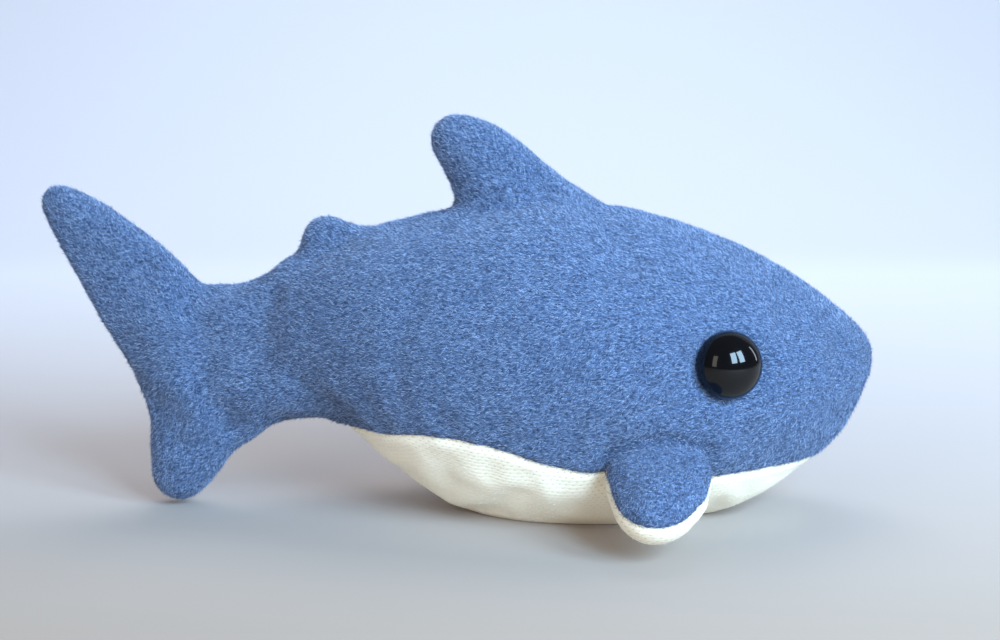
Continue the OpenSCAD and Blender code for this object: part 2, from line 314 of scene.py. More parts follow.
fillings = [part + "_stuffing" for part in ("body", "tail", "back_fin", "left_fin", "right_fin")]


def levelSet(points, triangles, quads, cell, band):
    return openvdb.FloatGrid.createLevelSetFromPolygons(
        np.ascontiguousarray(points, np.float32),
        triangles=None if triangles is None else np.ascontiguousarray(triangles, np.uint32),
        quads=None if quads is None else np.ascontiguousarray(quads, np.uint32),
        transform=openvdb.createLinearTransform(voxelSize=cell),
        halfWidth=band,
    )


def blurred(field, spread):
    reach = int(math.ceil(3 * spread))
    weights = np.exp(-0.5 * (np.arange(-reach, reach + 1) / spread) ** 2)
    weights /= weights.sum()
    for axis in range(3):
        pads = [(reach, reach) if d == axis else (0, 0) for d in range(3)]
        padded = np.pad(field, pads, mode="edge")
        total = np.zeros_like(field)
        for i, weight in enumerate(weights):
            cut = [slice(i, i + field.shape[axis]) if d == axis else slice(None) for d in range(3)]
            total += np.float32(weight) * padded[tuple(cut)]
        field = total
    return field


def surfaceOf(field, low, cell):
    grid = openvdb.FloatGrid(float(shape["room"]))
    grid.transform = openvdb.createLinearTransform(voxelSize=cell)
    grid.copyFromArray(np.ascontiguousarray(field), ijk=tuple(int(i) for i in low))
    points, triangles, quads = grid.convertToPolygons(float(shape["swell"]), 0.0)
    return points.astype(float), quads.astype(int)


def softLowest(one, two, soft):
    gap = np.clip((one - two) / soft * 0.5 + 0.5, 0, 1)
    return (one * (1 - gap) + two * gap - soft * gap * (1 - gap)).astype(np.float32)


def stuffedShape():
    cell, coarse = shape["cell"], shape["coarse"]
    names = [name for group in cloths.values() for name in group] + fillings
    points, triangles = nodeSoup(names)
    outside = levelSet(points, triangles, None, shape["seal"], 3)
    points, triangles, quads = outside.convertToPolygons(0.0, 0.0)
    clean = levelSet(points, triangles, quads, cell, shape["room"] / cell)
    low = np.floor((points.min(0) - shape["room"]) / cell / coarse).astype(int) * coarse
    high = np.ceil((points.max(0) + shape["room"]) / cell).astype(int)
    field = np.empty(high - low, np.float32)
    clean.copyToArray(field, ijk=tuple(int(i) for i in low))
    # filling pushed into the hollows round the tail root and behind the small rear fin
    x, y, z = [(low[i] + np.arange(field.shape[i])) * cell for i in range(3)]
    for offset, radius in shape["hollowFills"]:
        centre = tailPivot + np.array(offset)
        flat = (x[:, None] - centre[0]) ** 2 + (y[None, :] - centre[1]) ** 2
        ball = np.sqrt(flat[:, :, None] + ((z - centre[2]) ** 2)[None, None, :]) - radius
        field = softLowest(field, ball, shape["hollowSoft"])
    wide = blurred(field, shape["fillet"] / cell) + shape["filletSpare"]
    field = blurred(field, shape["rounding"] / cell)
    # the cloth bridges the hollows in the tail half
    wide += (shape["room"] * softStep(x, *shape["filletEnd"]))[:, None, None]
    field = softLowest(field, wide, shape["filletSoft"])
    fine = surfaceOf(field, low, cell)
    rough = surfaceOf(field[::coarse, ::coarse, ::coarse], low // coarse, cell * coarse)
    return fine, rough


(finePoints, fineQuads), (roughPoints, roughQuads) = stuffedShape()
print("stuffed shape:", len(finePoints), "fine points,", len(roughPoints), "for the cloth")


# Cloth simulation: the filling presses the skin out between its seams

puff = {"pressure": 4.0, "frames": 20, "shrink": -0.03, "cap": 1.6 * mm, "hold": 5 * mm}


def seamHold(points):
    near = {name: distanceTo(group, points) for name, group in cloths.items()}
    belly = np.abs(sideOf(near["side"], near["belly"]))
    middle = np.abs(points[:, 1]) + np.where(near["belly"] < near["side"], 1, 0)
    return 1 - softStep(np.minimum(belly, middle), 0.3 * puff["hold"], puff["hold"])


def puffedMoves(points, quads):
    trial = addObject("puffTrial", meshFrom("puffTrial", points, quads))
    hold = trial.vertex_groups.new(name="seams")
    for i, weight in enumerate(seamHold(points).tolist()):
        hold.add([i], weight, "REPLACE")
    cloth = trial.modifiers.new("puff", "CLOTH")
    settings = cloth.settings
    settings.quality = 5
    settings.vertex_group_mass = "seams"
    settings.use_pressure = True
    settings.uniform_pressure_force = puff["pressure"]
    settings.shrink_min = puff["shrink"]
    settings.effector_weights.gravity = 0
    cloth.collision_settings.use_collision = False
    scene = bpy.context.scene
    for number in range(1, puff["frames"] + 1):
        scene.frame_set(number)
    posed = trial.evaluated_get(bpy.context.evaluated_depsgraph_get())
    moves = readPoints(posed.data) - points
    scene.frame_set(1)
    bpy.data.objects.remove(trial)
    length = np.linalg.norm(moves, axis=1, keepdims=True)
    capped = puff["cap"] * np.tanh(length / puff["cap"])
    return moves * capped / np.maximum(length, 1e-9)


def spreadMoves(places, knots, moves):
    tree = searchTree(knots)
    result = np.zeros_like(places)
    reach = shape["cell"] * shape["coarse"]
    for i, place in enumerate(places.tolist()):
        total, weights = np.zeros(3), 0.0
        for _, number, gap in tree.find_n(place, 6):
            weight = math.exp(-((gap / reach) ** 2) * 1.5)
            total += weight * moves[number]
            weights += weight
        result[i] = total / weights
    return result


fineEdges = edgesOf(fineQuads)
moves = puffedMoves(roughPoints, roughQuads)
print("filling pressed: moves up to", round(float(np.linalg.norm(moves, axis=1).max() / mm), 2), "mm")
moves = spreadMoves(finePoints, roughPoints, moves)
for axis in range(3):
    moves[:, axis] = relaxed(moves[:, axis], fineEdges, 4)
finePoints = finePoints + moves
finePoints[:, 2] = np.maximum(finePoints[:, 2], 0)


# Cloth pieces: where each panel is, and the cuts between them

seams = {
    "settle": 12,  # rounds of evening out a seam line
    "waver": 0.7 * mm,
    "waverLength": 9 * mm,
    "underHigher": 1.6 * mm,
    "rearRise": 4.2 * mm,
    "rearSpan": 20 * mm,
    "rearMiddle": -3 * mm,
    "underFrom": (1 * mm, 7 * mm),
    "onLine": 0.12,  # of a cell: nearer points lie on the cut
    "tailFrom": -0.044,
    "backFinFrom": 0.087,
    "backFinBehind": -0.02,
}


def panelFields(points, edges):
    near = {name: distanceTo(group, points) for name, group in cloths.items()}
    body = np.minimum(near["side"], near["belly"])
    fin = np.minimum(near["finTop"], near["finUnder"])
    belly = relaxed(sideOf(near["side"], near["belly"]), edges, seams["settle"])
    belly += seams["waver"] * softNoise(points, seams["waverLength"], 5)
    belly += seams["rearRise"] * np.exp(-(((points[:, 0] - seams["rearMiddle"]) / seams["rearSpan"]) ** 2))
    join = relaxed(sideOf(body, fin), edges, 6)
    under = relaxed(sideOf(near["finTop"], near["finUnder"]), edges, seams["settle"])
    under += seams["underHigher"] * softStep(join, *seams["underFrom"])
    return {
        "place": points,
        "belly": belly,
        "under": under,
        "join": join,
        "middle": points[:, 1].copy(),
        "tail": points[:, 0] - seams["tailFrom"],
        "rise": points[:, 2] - seams["backFinFrom"],
    }


def cutAlong(skin, faces, name):
    values = skin[name].copy()
    values[np.abs(values) < seams["onLine"] * shape["cell"]] = 0
    sign = np.sign(values)
    at = sign[faces]
    crossed = (at > 0).any(1) & (at < 0).any(1)
    kept, cut, at = faces[~crossed], faces[crossed], at[crossed]
    touching = (at == 0).any(1)
    first = np.where(touching, np.argmax(at == 0, axis=1), np.argmin(at * at.sum(1, keepdims=True), axis=1))
    cut = np.take_along_axis(cut, (first[:, None] + np.arange(3)) % 3, axis=1)
    lone, halved = cut[~touching], cut[touching]
    pairs = np.sort(np.vstack([lone[:, [0, 1]], lone[:, [0, 2]], halved[:, [1, 2]]]), axis=1)
    ends, which = np.unique(pairs, axis=0, return_inverse=True)
    which = which.reshape(-1) + len(values)
    share = values[ends[:, 0]] / (values[ends[:, 0]] - values[ends[:, 1]])
    for key, old in skin.items():
        part = share[:, None] if old.ndim == 2 else share
        skin[key] = np.concatenate([old, old[ends[:, 0]] * (1 - part) + old[ends[:, 1]] * part])
    skin[name] = np.concatenate([values, np.zeros(len(ends))])
    a, b, c = np.split(which, [len(lone), 2 * len(lone)])
    return np.vstack([
        kept,
        np.column_stack([lone[:, 0], a, b]),
        np.column_stack([a, lone[:, 1], b]),
        np.column_stack([lone[:, 1], lone[:, 2], b]),
        np.column_stack([halved[:, 0], halved[:, 1], c]),
        np.column_stack([halved[:, 0], c, halved[:, 2]]),
    ])


panelNames = [
    "leftSideCloth", "rightSideCloth", "bellyCloth",
    "tailLeftCloth", "tailRightCloth",
    "backFinLeftCloth", "backFinRightCloth",
    "leftFinTopCloth", "leftFinUnderCloth", "rightFinTopCloth", "rightFinUnderCloth",
]
panelNumber = {name: i for i, name in enumerate(panelNames)}


def panelOfFaces(skin, faces):
    mean = {key: values[faces].mean(1) for key, values in skin.items()}
    left, under = mean["middle"] > 0, mean["under"] > 0

    def pick(where, first, second):
        return np.where(where, panelNumber[first + "Cloth"], panelNumber[second + "Cloth"])

    number = pick(left, "leftSide", "rightSide")
    number = np.where(mean["belly"] > 0, panelNumber["bellyCloth"], number)
    onBackFin = (mean["rise"] > 0) & (mean["place"][:, 0] > seams["backFinBehind"])
    number = np.where(onBackFin, pick(left, "backFinLeft", "backFinRight"), number)
    number = np.where(mean["tail"] < 0, pick(left, "tailLeft", "tailRight"), number)
    leftFin = pick(under, "leftFinUnder", "leftFinTop")
    rightFin = pick(under, "rightFinUnder", "rightFinTop")
    return np.where(mean["join"] > 0, np.where(left, leftFin, rightFin), number)


skin = panelFields(finePoints, fineEdges)
faces = np.vstack([fineQuads[:, [0, 1, 2]], fineQuads[:, [0, 2, 3]]])
for field in ("belly", "join", "under", "middle", "tail", "rise"):
    faces = cutAlong(skin, faces, field)
panel = panelOfFaces(skin, faces)
for name, number in panelNumber.items():
    print("panel", name, int((panel == number).sum()), "triangles")


# Seam lines: the edges that two panels share

seamKinds = {"middle": 0, "belly": 1, "finEdge": 2, "finJoin": 3}
joined = [
    ("leftSide", "rightSide", "middle"),
    ("tailLeft", "tailRight", "middle"),
    ("backFinLeft", "backFinRight", "middle"),
]
for side in sides:
    top, under = side + "FinTop", side + "FinUnder"
    joined += [(side + "Side", "belly", "belly"), (top, under, "finEdge")]
    joined += [(cloth, fin, "finJoin") for cloth in (side + "Side", "belly") for fin in (top, under)]
kindOfPair = {
    tuple(sorted((panelNumber[one + "Cloth"], panelNumber[two + "Cloth"]))): seamKinds[kind]
    for one, two, kind in joined
}


def seamEdges(faces, panel):
    pairs = np.vstack([faces[:, [0, 1]], faces[:, [1, 2]], faces[:, [2, 0]]])
    owner = np.concatenate([panel, panel, panel])
    pairs = np.sort(pairs, axis=1)
    order = np.lexsort((owner, pairs[:, 1], pairs[:, 0]))
    pairs, owner = pairs[order], owner[order]
    same = (pairs[1:] == pairs[:-1]).all(1) & (owner[1:] != owner[:-1])
    found = []
    for edge, a, b in zip(pairs[1:][same].tolist(), owner[:-1][same].tolist(), owner[1:][same].tolist()):
        kind = kindOfPair.get((a, b))
        if kind is not None:
            found.append((edge[0], edge[1], a, b, kind))
    return np.array(found)


lines = seamEdges(faces, panel)
print("seam edges:", len(lines))


# Every point's nearest place on each kind of seam
def nearestSeam(places, lines, kind):
    chosen = lines[lines[:, 4] == kind]
    a, b = places[chosen[:, 0]], places[chosen[:, 1]]
    tree = searchTree(np.vstack([a, b, (a + b) / 2]))
    gaps, spots = np.empty(len(places)), np.empty_like(places)
    for i, place in enumerate(places.tolist()):
        spots[i], _, gaps[i] = tree.find(place)
    return gaps, spots


# Surface: seam valleys, gathers, lumps of filling and the dip under each eye

surface = {
    "valley": {"middle": 0.45 * mm, "belly": 0.7 * mm, "finEdge": 0.45 * mm, "finJoin": 1.8 * mm},
    "width": {"middle": 0.9 * mm, "belly": 1.2 * mm, "finEdge": 0.9 * mm, "finJoin": 1.7 * mm},
    "gather": {"middle": 0.14 * mm, "belly": 0.17 * mm, "finEdge": 0.20 * mm, "finJoin": 0.30 * mm},
    "gatherLength": 3.6 * mm,
    "gatherReach": 6 * mm,
    "gatherFrom": 1.2 * mm,
    "soleHeight": 1.0 * mm,
    "soleShare": 0.3,  # of the surface's dips left on the flat sole
    "lump": 0.35 * mm,
    "lumpSize": 24 * mm,
    "smallLump": 0.14 * mm,
    "smallLumpSize": 8 * mm,
    "eyeNudge": (-0.5 * mm, 0, 1.2 * mm),
    "eyeSink": 0.25 * mm,
    "eyeSlope": 0.30,
    "eyeReach": 9 * mm,
    "eyeDepth": 12 * mm,
    "eyeCurve": 40,
    "eyeSoft": 0.4 * mm,
    "eyeRim": 0.6 * mm,
}


# The middle of an eye's back face, the way it looks, and its radius
def eyeAxis(side):
    points = np.unique(readPoints(nodes[side + "_eye"].data).round(7), axis=0)
    centre = points.mean(0)
    spans, ways = np.linalg.eigh(np.cov((points - centre).T))
    odd = 2 if spans[2] - spans[1] > spans[1] - spans[0] else 0
    axis = ways[:, odd] * np.sign(ways[1, odd] * sides[side])
    height = (points - centre) @ axis
    round_ = np.linalg.norm(points - centre - height[:, None] * axis, axis=1)
    back = height[round_ > round_.max() - surface["eyeRim"]].min()
    return centre + axis * back + np.array(surface["eyeNudge"]), axis, round_.max()


# Presses the cloth in round the eye, so that the eye sits on it
def seatEye(places, side):
    centre, axis, radius = eyeAxis(side)
    height = (places - centre) @ axis
    gap = np.linalg.norm(places - centre - height[:, None] * axis, axis=1) - radius
    near = (gap < surface["eyeReach"]) & (np.abs(height) < surface["eyeDepth"])
    out = np.maximum(gap[near], 0)
    limit = -surface["eyeSink"] + surface["eyeSlope"] * out + surface["eyeCurve"] * out ** 2
    soft = surface["eyeSoft"]
    over = height[near] - limit
    push = np.where(over > -soft, (over + soft) ** 2 / (4 * soft), 0)
    push = np.where(over > soft, over, push)
    places[near] -= push[:, None] * axis


def shapeSurface(skin, faces, lines):
    places = skin["place"]
    normals = vertexNormals(places, faces)
    lift = surface["lump"] * softNoise(places, surface["lumpSize"], 11)
    lift += surface["smallLump"] * softNoise(places, surface["smallLumpSize"], 12)
    allGaps = []
    for kind, number in seamKinds.items():
        gaps, spots = nearestSeam(places, lines, number)
        allGaps.append(gaps)
        lift -= surface["valley"][kind] * np.exp(-((gaps / surface["width"][kind]) ** 2))
        fold = softNoise(spots, surface["gatherLength"], 21 + number)
        near = np.exp(-gaps / surface["gatherReach"]) * (1 - np.exp(-((gaps / surface["gatherFrom"]) ** 2)))
        lift += surface["gather"][kind] * fold * near
    onSole = places[:, 2] < surface["soleHeight"]
    lift = np.where(onSole, np.minimum(lift, 0) * surface["soleShare"], lift)
    skin["place"] = places + normals * lift[:, None]
    for side in sides:
        seatEye(skin["place"], side)
    skin["place"][:, 2] = np.maximum(skin["place"][:, 2], 0)
    skin["gap"] = np.min(allGaps, axis=0)
    skin["normal"] = vertexNormals(skin["place"], faces)


shapeSurface(skin, faces, lines)
print("surface shaped:", len(skin["place"]), "points", len(faces), "triangles")


# How the cloth lies: length along the body, and the way round it

lay = {
    "middleHeight": 44 * mm,
    "roundRadius": 36 * mm,
    "trunk": (-50 * mm, -20 * mm),
    "backFin": (82 * mm, 92 * mm),
    "sideFin": (38 * mm, 42 * mm),
    "sideFinComb": (36 * mm, 44 * mm),
    "crestComb": (84 * mm, 92 * mm),
    "tailComb": (-80 * mm, -50 * mm),
    "lobeMiddle": 45 * mm,
    "lobeReach": 15 * mm,
}


def layOfCloth(skin):
    x, y, z = skin["place"].T
    turn = np.arctan2(np.abs(y), lay["middleHeight"] - z) - math.pi / 2
    wrapped = lay["middleHeight"] + lay["roundRadius"] * turn
    onTrunk = softStep(x, *lay["trunk"]) * (1 - softStep(z, *lay["backFin"]))
    onTrunk *= 1 - softStep(np.abs(y), *lay["sideFin"])
    around = wrapped * onTrunk + z * (1 - onTrunk)
    skin["grain"] = np.column_stack([x, around, 0.35 * y])
    # combed back along the body, outward along the fins and the tail lobes
    tail = 1 - softStep(x, *lay["tailComb"])
    fin = softStep(np.abs(y), *lay["sideFinComb"])
    crest = softStep(z, *lay["crestComb"])
    fromMiddle = np.abs(z - lay["lobeMiddle"]) / lay["lobeReach"]
    up = np.where(z > lay["lobeMiddle"], 1.0, -1.0) * np.clip(fromMiddle, 0, 1)
    along = np.column_stack([
        0.3 * fin - 1,
        1.2 * fin * np.sign(y),
        1.3 * tail * up - 0.6 * fin + 0.8 * crest,
    ])
    normal = skin["normal"]
    along -= normal * (along * normal).sum(1, keepdims=True)
    skin["comb"] = unit(along)


layOfCloth(skin)


# Shared node groups and materials

def newGroup(name, inputs, outputs):
    group = bpy.data.node_groups.new(name, "ShaderNodeTree")
    for label, kind, value in inputs:
        socket = group.interface.new_socket(label, in_out="INPUT", socket_type=kind)
        if value is not None:
            socket.default_value = value
    for label, kind in outputs:
        group.interface.new_socket(label, in_out="OUTPUT", socket_type=kind)
    return group, group.nodes.new("NodeGroupInput"), group.nodes.new("NodeGroupOutput")


# Sets a node's inputs, each from a value or from another node's output
def feed(made, inputs):
    for label, value in inputs.items():
        if isinstance(value, bpy.types.NodeSocket):
            made.id_data.links.new(value, made.inputs[label])
        else:
            made.inputs[label].default_value = value


def node(tree, kind, inputs=None, **settings):
    made = tree.nodes.new(kind)
    for key, value in settings.items():
        setattr(made, key, value)
    feed(made, inputs or {})
    return made


def mathNode(tree, operation, *values):
    return node(tree, "ShaderNodeMath", dict(enumerate(values)), operation=operation).outputs[0]


def vectorMath(tree, operation, first, second):
    inputs = {0: first, "Scale" if operation == "SCALE" else 1: second}
    made = node(tree, "ShaderNodeVectorMath", inputs, operation=operation)
    return made.outputs["Value" if operation == "DOT_PRODUCT" else "Vector"]


def noiseNode(tree, vector, scale, detail, rough=0.5):
    inputs = {"Vector": vector, "Scale": scale, "Detail": detail, "Roughness": rough}
    return node(tree, "ShaderNodeTexNoise", inputs).outputs["Fac"]


def scaledVector(tree, vector, scale, turn):
    return node(tree, "ShaderNodeMapping", {"Vector": vector, "Rotation": turn, "Scale": scale}).outputs[0]


def rangeNode(tree, value, low, high, newLow=0.0, newHigh=1.0, smooth=False):
    inputs = {"Value": value, "From Min": low, "From Max": high, "To Min": newLow, "To Max": newHigh}
    kind = "SMOOTHSTEP" if smooth else "LINEAR"
    return node(tree, "ShaderNodeMapRange", inputs, interpolation_type=kind).outputs["Result"]


def mixColour(tree, factor, first, second):
    first, second = ((*value, 1) if isinstance(value, tuple) else value for value in (first, second))
    return node(tree, "ShaderNodeMix", {0: factor, 6: first, 7: second}, data_type="RGBA").outputs[2]


def objectPlace(tree):
    return node(tree, "ShaderNodeTexCoord").outputs["Object"]


def readAttribute(tree, name, output="Vector"):
    return node(tree, "ShaderNodeAttribute", attribute_name=name).outputs[output]


def groupNode(tree, group, **inputs):
    return node(tree, "ShaderNodeGroup", inputs, node_tree=group)


def addBump(tree, shader, height, strength, distance):
    bump = node(tree, "ShaderNodeBump", {"Strength": strength, "Distance": distance, "Height": height})
    feed(shader, {"Normal": bump.outputs["Normal"]})


def newMaterial(name):
    material = bpy.data.materials.new(name)
    material.use_nodes = True
    tree = material.node_tree
    return material, tree, tree.nodes["Principled BSDF"]


# Short streaks and specks of matted fibre, and wide patches, each 0 to 1
def makeMottleGroup():
    group, start, end = newGroup(
        "mattedFibre",
        [("Vector", "NodeSocketVector", None), ("Fineness", "NodeSocketFloat", 1.0)],
        [("Streaks", "NodeSocketFloat"), ("Specks", "NodeSocketFloat"), ("Patches", "NodeSocketFloat")],
    )
    vector = vectorMath(group, "SCALE", start.outputs["Vector"], start.outputs["Fineness"])
    flat = noiseNode(group, scaledVector(group, vector, (760, 2000, 1500), (0, 0, 0.10)), 1.0, 2.0, 0.6)
    tilted = noiseNode(group, scaledVector(group, vector, (820, 2100, 1500), (0, 0, 0.62)), 1.0, 2.0, 0.6)
    streaks = mathNode(group, "MULTIPLY", mathNode(group, "ADD", flat, tilted), 0.5)
    specks = noiseNode(group, scaledVector(group, vector, (900, 2200, 1500), (0, 0, 0.15)), 1.0, 1.0)
    feed(end, {
        "Streaks": rangeNode(group, streaks, 0.36, 0.64),
        "Specks": rangeNode(group, specks, 0.56, 0.70),
        "Patches": rangeNode(group, noiseNode(group, vector, 55.0, 2.0), 0.3, 0.7),
    })
    return group


# Rows of knitted stitches: Holes is 1 in each gap between loops, Loops is their height
def makeKnitGroup():
    group, start, end = newGroup(
        "knitRows",
        [("Vector", "NodeSocketVector", None), ("Along", "NodeSocketFloat", 900.0),
         ("Around", "NodeSocketFloat", 1100.0), ("Wobble", "NodeSocketFloat", 0.25)],
        [("Holes", "NodeSocketFloat"), ("Loops", "NodeSocketFloat")],
    )
    split = node(group, "ShaderNodeSeparateXYZ", {0: start.outputs["Vector"]})
    drift = noiseNode(group, start.outputs["Vector"], 160.0, 2.0)
    drift = mathNode(group, "MULTIPLY", mathNode(group, "SUBTRACT", drift, 0.5), start.outputs["Wobble"])
    drift = mathNode(group, "MULTIPLY", drift, 8.0)
    u, v = (
        mathNode(group, "ADD", mathNode(group, "MULTIPLY", split.outputs[i], start.outputs[label]), drift)
        for i, label in enumerate(("Along", "Around"))
    )
    shift = mathNode(group, "MULTIPLY", mathNode(group, "MODULO", mathNode(group, "FLOOR", v), 2.0), 0.5)
    across = mathNode(group, "SINE", mathNode(group, "MULTIPLY", mathNode(group, "ADD", u, shift), 6.2832))
    down = mathNode(group, "SINE", mathNode(group, "MULTIPLY", v, 6.2832))
    across = mathNode(group, "MULTIPLY", across, 0.38)
    both = mathNode(group, "ADD", across, mathNode(group, "MULTIPLY", down, 0.62))
    feed(end, {
        "Holes": rangeNode(group, both, 0.60, 0.98, smooth=True),
        "Loops": rangeNode(group, both, 1.0, -1.0),
    })
    return group


mottleGroup = makeMottleGroup()
knitGroup = makeKnitGroup()
makeCamera()
makeLamps()
makeFloor()
bpy.context.scene.view_settings.view_transform = "Standard"
print("studio ready")


def threeTones(tree, tone, dark, middle, light):
    low = mixColour(tree, rangeNode(tree, tone, 0.0, 0.5), dark, middle)
    return mixColour(tree, rangeNode(tree, tone, 0.5, 1.0), low, light)


blueCloth = {
    "dark": (0.022, 0.037, 0.089),
    "middle": (0.081, 0.136, 0.274),
    "light": (0.175, 0.265, 0.439),
    "patch": (0.072, 0.135, 0.291),
    "sheen": 0.35,
    "sheenTint": (0.60, 0.75, 1.0),
    "bump": 0.55,
}


def makeBlueCloth():
    material, tree, shader = newMaterial("brushedBlueJersey")
    grain = readAttribute(tree, "grain")
    mottle = groupNode(tree, mottleGroup, Vector=grain, Fineness=1.0)
    knit = groupNode(tree, knitGroup, Vector=grain, Along=820.0, Around=780.0, Wobble=0.4)
    base = mixColour(tree, mottle.outputs["Patches"], blueCloth["middle"], blueCloth["patch"])
    streaked = threeTones(tree, mottle.outputs["Streaks"], blueCloth["dark"], base, blueCloth["light"])
    dim = mathNode(tree, "MULTIPLY", mottle.outputs["Specks"], 0.75)
    dim = mathNode(tree, "MAXIMUM", dim, mathNode(tree, "MULTIPLY", knit.outputs["Holes"], 0.5))
    # painted shade: the blue is darkened up to 0.6 within about 1.6 mm of every seam, where shade falls in
    # the seam valleys; dim then holds the cloth's own dark specks and knit holes together with this painted
    # seam shade
    seamPaintedShade = rangeNode(tree, readAttribute(tree, "gap", "Fac"), 0.2 * mm, 1.6 * mm, 0.6, 0.0, smooth=True)
    dim = mathNode(tree, "MAXIMUM", dim, seamPaintedShade)
    feed(shader, {
        "Base Color": mixColour(tree, dim, streaked, blueCloth["dark"]),
        "Roughness": 0.95,
        "Specular IOR Level": 0.15,
        "Sheen Weight": blueCloth["sheen"],
        "Sheen Roughness": 0.6,
        "Sheen Tint": (*blueCloth["sheenTint"], 1),
    })
    height = mathNode(tree, "SUBTRACT", mottle.outputs["Streaks"], dim)
    addBump(tree, shader, height, blueCloth["bump"], 0.35 * mm)
    return material


creamCloth = {
    "base": (0.97, 0.89, 0.73),
    "warm": (0.95, 0.84, 0.65),
    "hole": (0.62, 0.54, 0.42),
    "sheen": 0.15,
    "bump": 0.22,
}


def makeCreamCloth():
    material, tree, shader = newMaterial("creamStockinette")
    grain = readAttribute(tree, "grain")
    knit = groupNode(tree, knitGroup, Vector=grain, Along=560.0, Around=1080.0, Wobble=0.22)
    mottle = groupNode(tree, mottleGroup, Vector=grain, Fineness=0.8)
    base = mixColour(tree, mottle.outputs["Patches"], creamCloth["base"], creamCloth["warm"])
    faint = mathNode(tree, "MULTIPLY", mottle.outputs["Streaks"], 0.25)
    base = mixColour(tree, faint, base, creamCloth["base"])
    stretched = rangeNode(tree, readAttribute(tree, "gap", "Fac"), 1.0 * mm, 12 * mm, 0.80, 0.12)
    holes = mathNode(tree, "MULTIPLY", knit.outputs["Holes"], stretched)
    feed(shader, {
        "Base Color": mixColour(tree, holes, base, creamCloth["hole"]),
        "Roughness": 0.9,
        "Specular IOR Level": 0.2,
        "Sheen Weight": creamCloth["sheen"],
    })
    height = mathNode(tree, "SUBTRACT", knit.outputs["Loops"], holes)
    addBump(tree, shader, height, creamCloth["bump"], 0.3 * mm)
    return material


# dark, middle and light
fibre = {
    "blueFibre": ((0.015, 0.028, 0.065), (0.097, 0.155, 0.303), (0.395, 0.522, 0.773)),
    "creamFibre": ((0.70, 0.62, 0.48), (0.84, 0.78, 0.66), (0.92, 0.88, 0.80)),
}


def makeFibre(name):
    material, tree, shader = newMaterial(name)
    feed(shader, {
        "Base Color": threeTones(tree, readAttribute(tree, "tone", "Fac"), *fibre[name]),
        "Roughness": 0.8,
        "Specular IOR Level": 0.2,
        "Sheen Weight": 0.2,
    })
    return material


threads = {"blueThread": (0.085, 0.165, 0.345), "creamThread": (0.80, 0.74, 0.62)}


def makeThread(name):
    material, tree, shader = newMaterial(name)
    inputs = {"Vector": objectPlace(tree), "Scale": 900.0, "Distortion": 1.5}
    twist = node(tree, "ShaderNodeTexWave", inputs, bands_direction="DIAGONAL").outputs["Fac"]
    dark = tuple(0.6 * part for part in threads[name])
    feed(shader, {"Base Color": mixColour(tree, twist, dark, threads[name]), "Roughness": 0.7})
    addBump(tree, shader, twist, 0.4, 0.05 * mm)
    return material


eyeLook = {"colour": (0.003, 0.003, 0.004), "roughness": 0.15, "shine": 0.05, "coat": 0.7}


def makeEyeGloss():
    material, tree, shader = newMaterial("polishedBlackEye")
    clouds = noiseNode(tree, objectPlace(tree), 220.0, 3.0)
    rough = eyeLook["roughness"]
    deep = tuple(0.5 * part for part in eyeLook["colour"])
    feed(shader, {
        "Base Color": mixColour(tree, clouds, deep, eyeLook["colour"]),
        "Roughness": rangeNode(tree, clouds, 0.3, 0.7, rough * 0.7, rough * 1.4),
        "Coat Weight": eyeLook["coat"],
        "Coat Roughness": 0.02,
        "Specular IOR Level": eyeLook["shine"],
    })
    return material


def makeWasherPlastic():
    material, tree, shader = newMaterial("mouldedWasher")
    clouds = noiseNode(tree, objectPlace(tree), 400.0, 3.0)
    feed(shader, {
        "Base Color": mixColour(tree, clouds, (0.55, 0.55, 0.53), (0.68, 0.68, 0.66)),
        "Roughness": rangeNode(tree, clouds, 0.3, 0.7, 0.4, 0.6),
    })
    addBump(tree, shader, clouds, 0.2, 0.05 * mm)
    return material


looks = {
    "blue_cloth": makeBlueCloth(),
    "cream_cloth": makeCreamCloth(),
    "blueFibre": makeFibre("blueFibre"),
    "creamFibre": makeFibre("creamFibre"),
    "blue_thread": makeThread("blueThread"),
    "cream_thread": makeThread("creamThread"),
    "eye_gloss": makeEyeGloss(),
    "washer_plastic": makeWasherPlastic(),
}
print("materials ready")


# How each piece moves: with the body, or bending from the body into its own fin

bends = {
    "tail": (12 * mm, -12 * mm),  # from the hinge, along the body
    "backFin": (87 * mm, 97 * mm),  # heights
    "sideFin": 9 * mm,  # from the hinge, outward
    "sideFinDroop": math.radians(22),
}


def bendLine(name):
    if name.startswith("tail"):
        place = Vector(hinges["tail_bend"]["pos_m"])
        return "tail", *(place + Vector((shift, 0, 0)) for shift in bends["tail"])
    if name.startswith("backFin"):
        x = hinges["back_fin_lean"]["pos_m"][0]
        return "back_fin", *(Vector((x, 0, height)) for height in bends["backFin"])
    side = "left" if name.startswith("left") else "right"
    place = Vector(hinges[side + "_fin_flap"]["pos_m"])
    droop = bends["sideFinDroop"]
    out = Vector((0, sides[side] * math.cos(droop), -math.sin(droop)))
    return side + "_fin", place, place + out * bends["sideFin"]


onBody = ("leftSide", "rightSide", "belly", "leftBelly", "rightBelly", "backSeam", "stalk", "closing")


def carry(piece, name):
    if name.startswith(onBody):
        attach(piece, "body")
    else:
        body, start, end = bendLine(name)
        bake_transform(piece, "body", body, start=tuple(start), end=tuple(end))


# Cloth panels with a real thickness

panelSettings = {"thickness": 1.1 * mm, "soleSpare": 0.1 * mm}
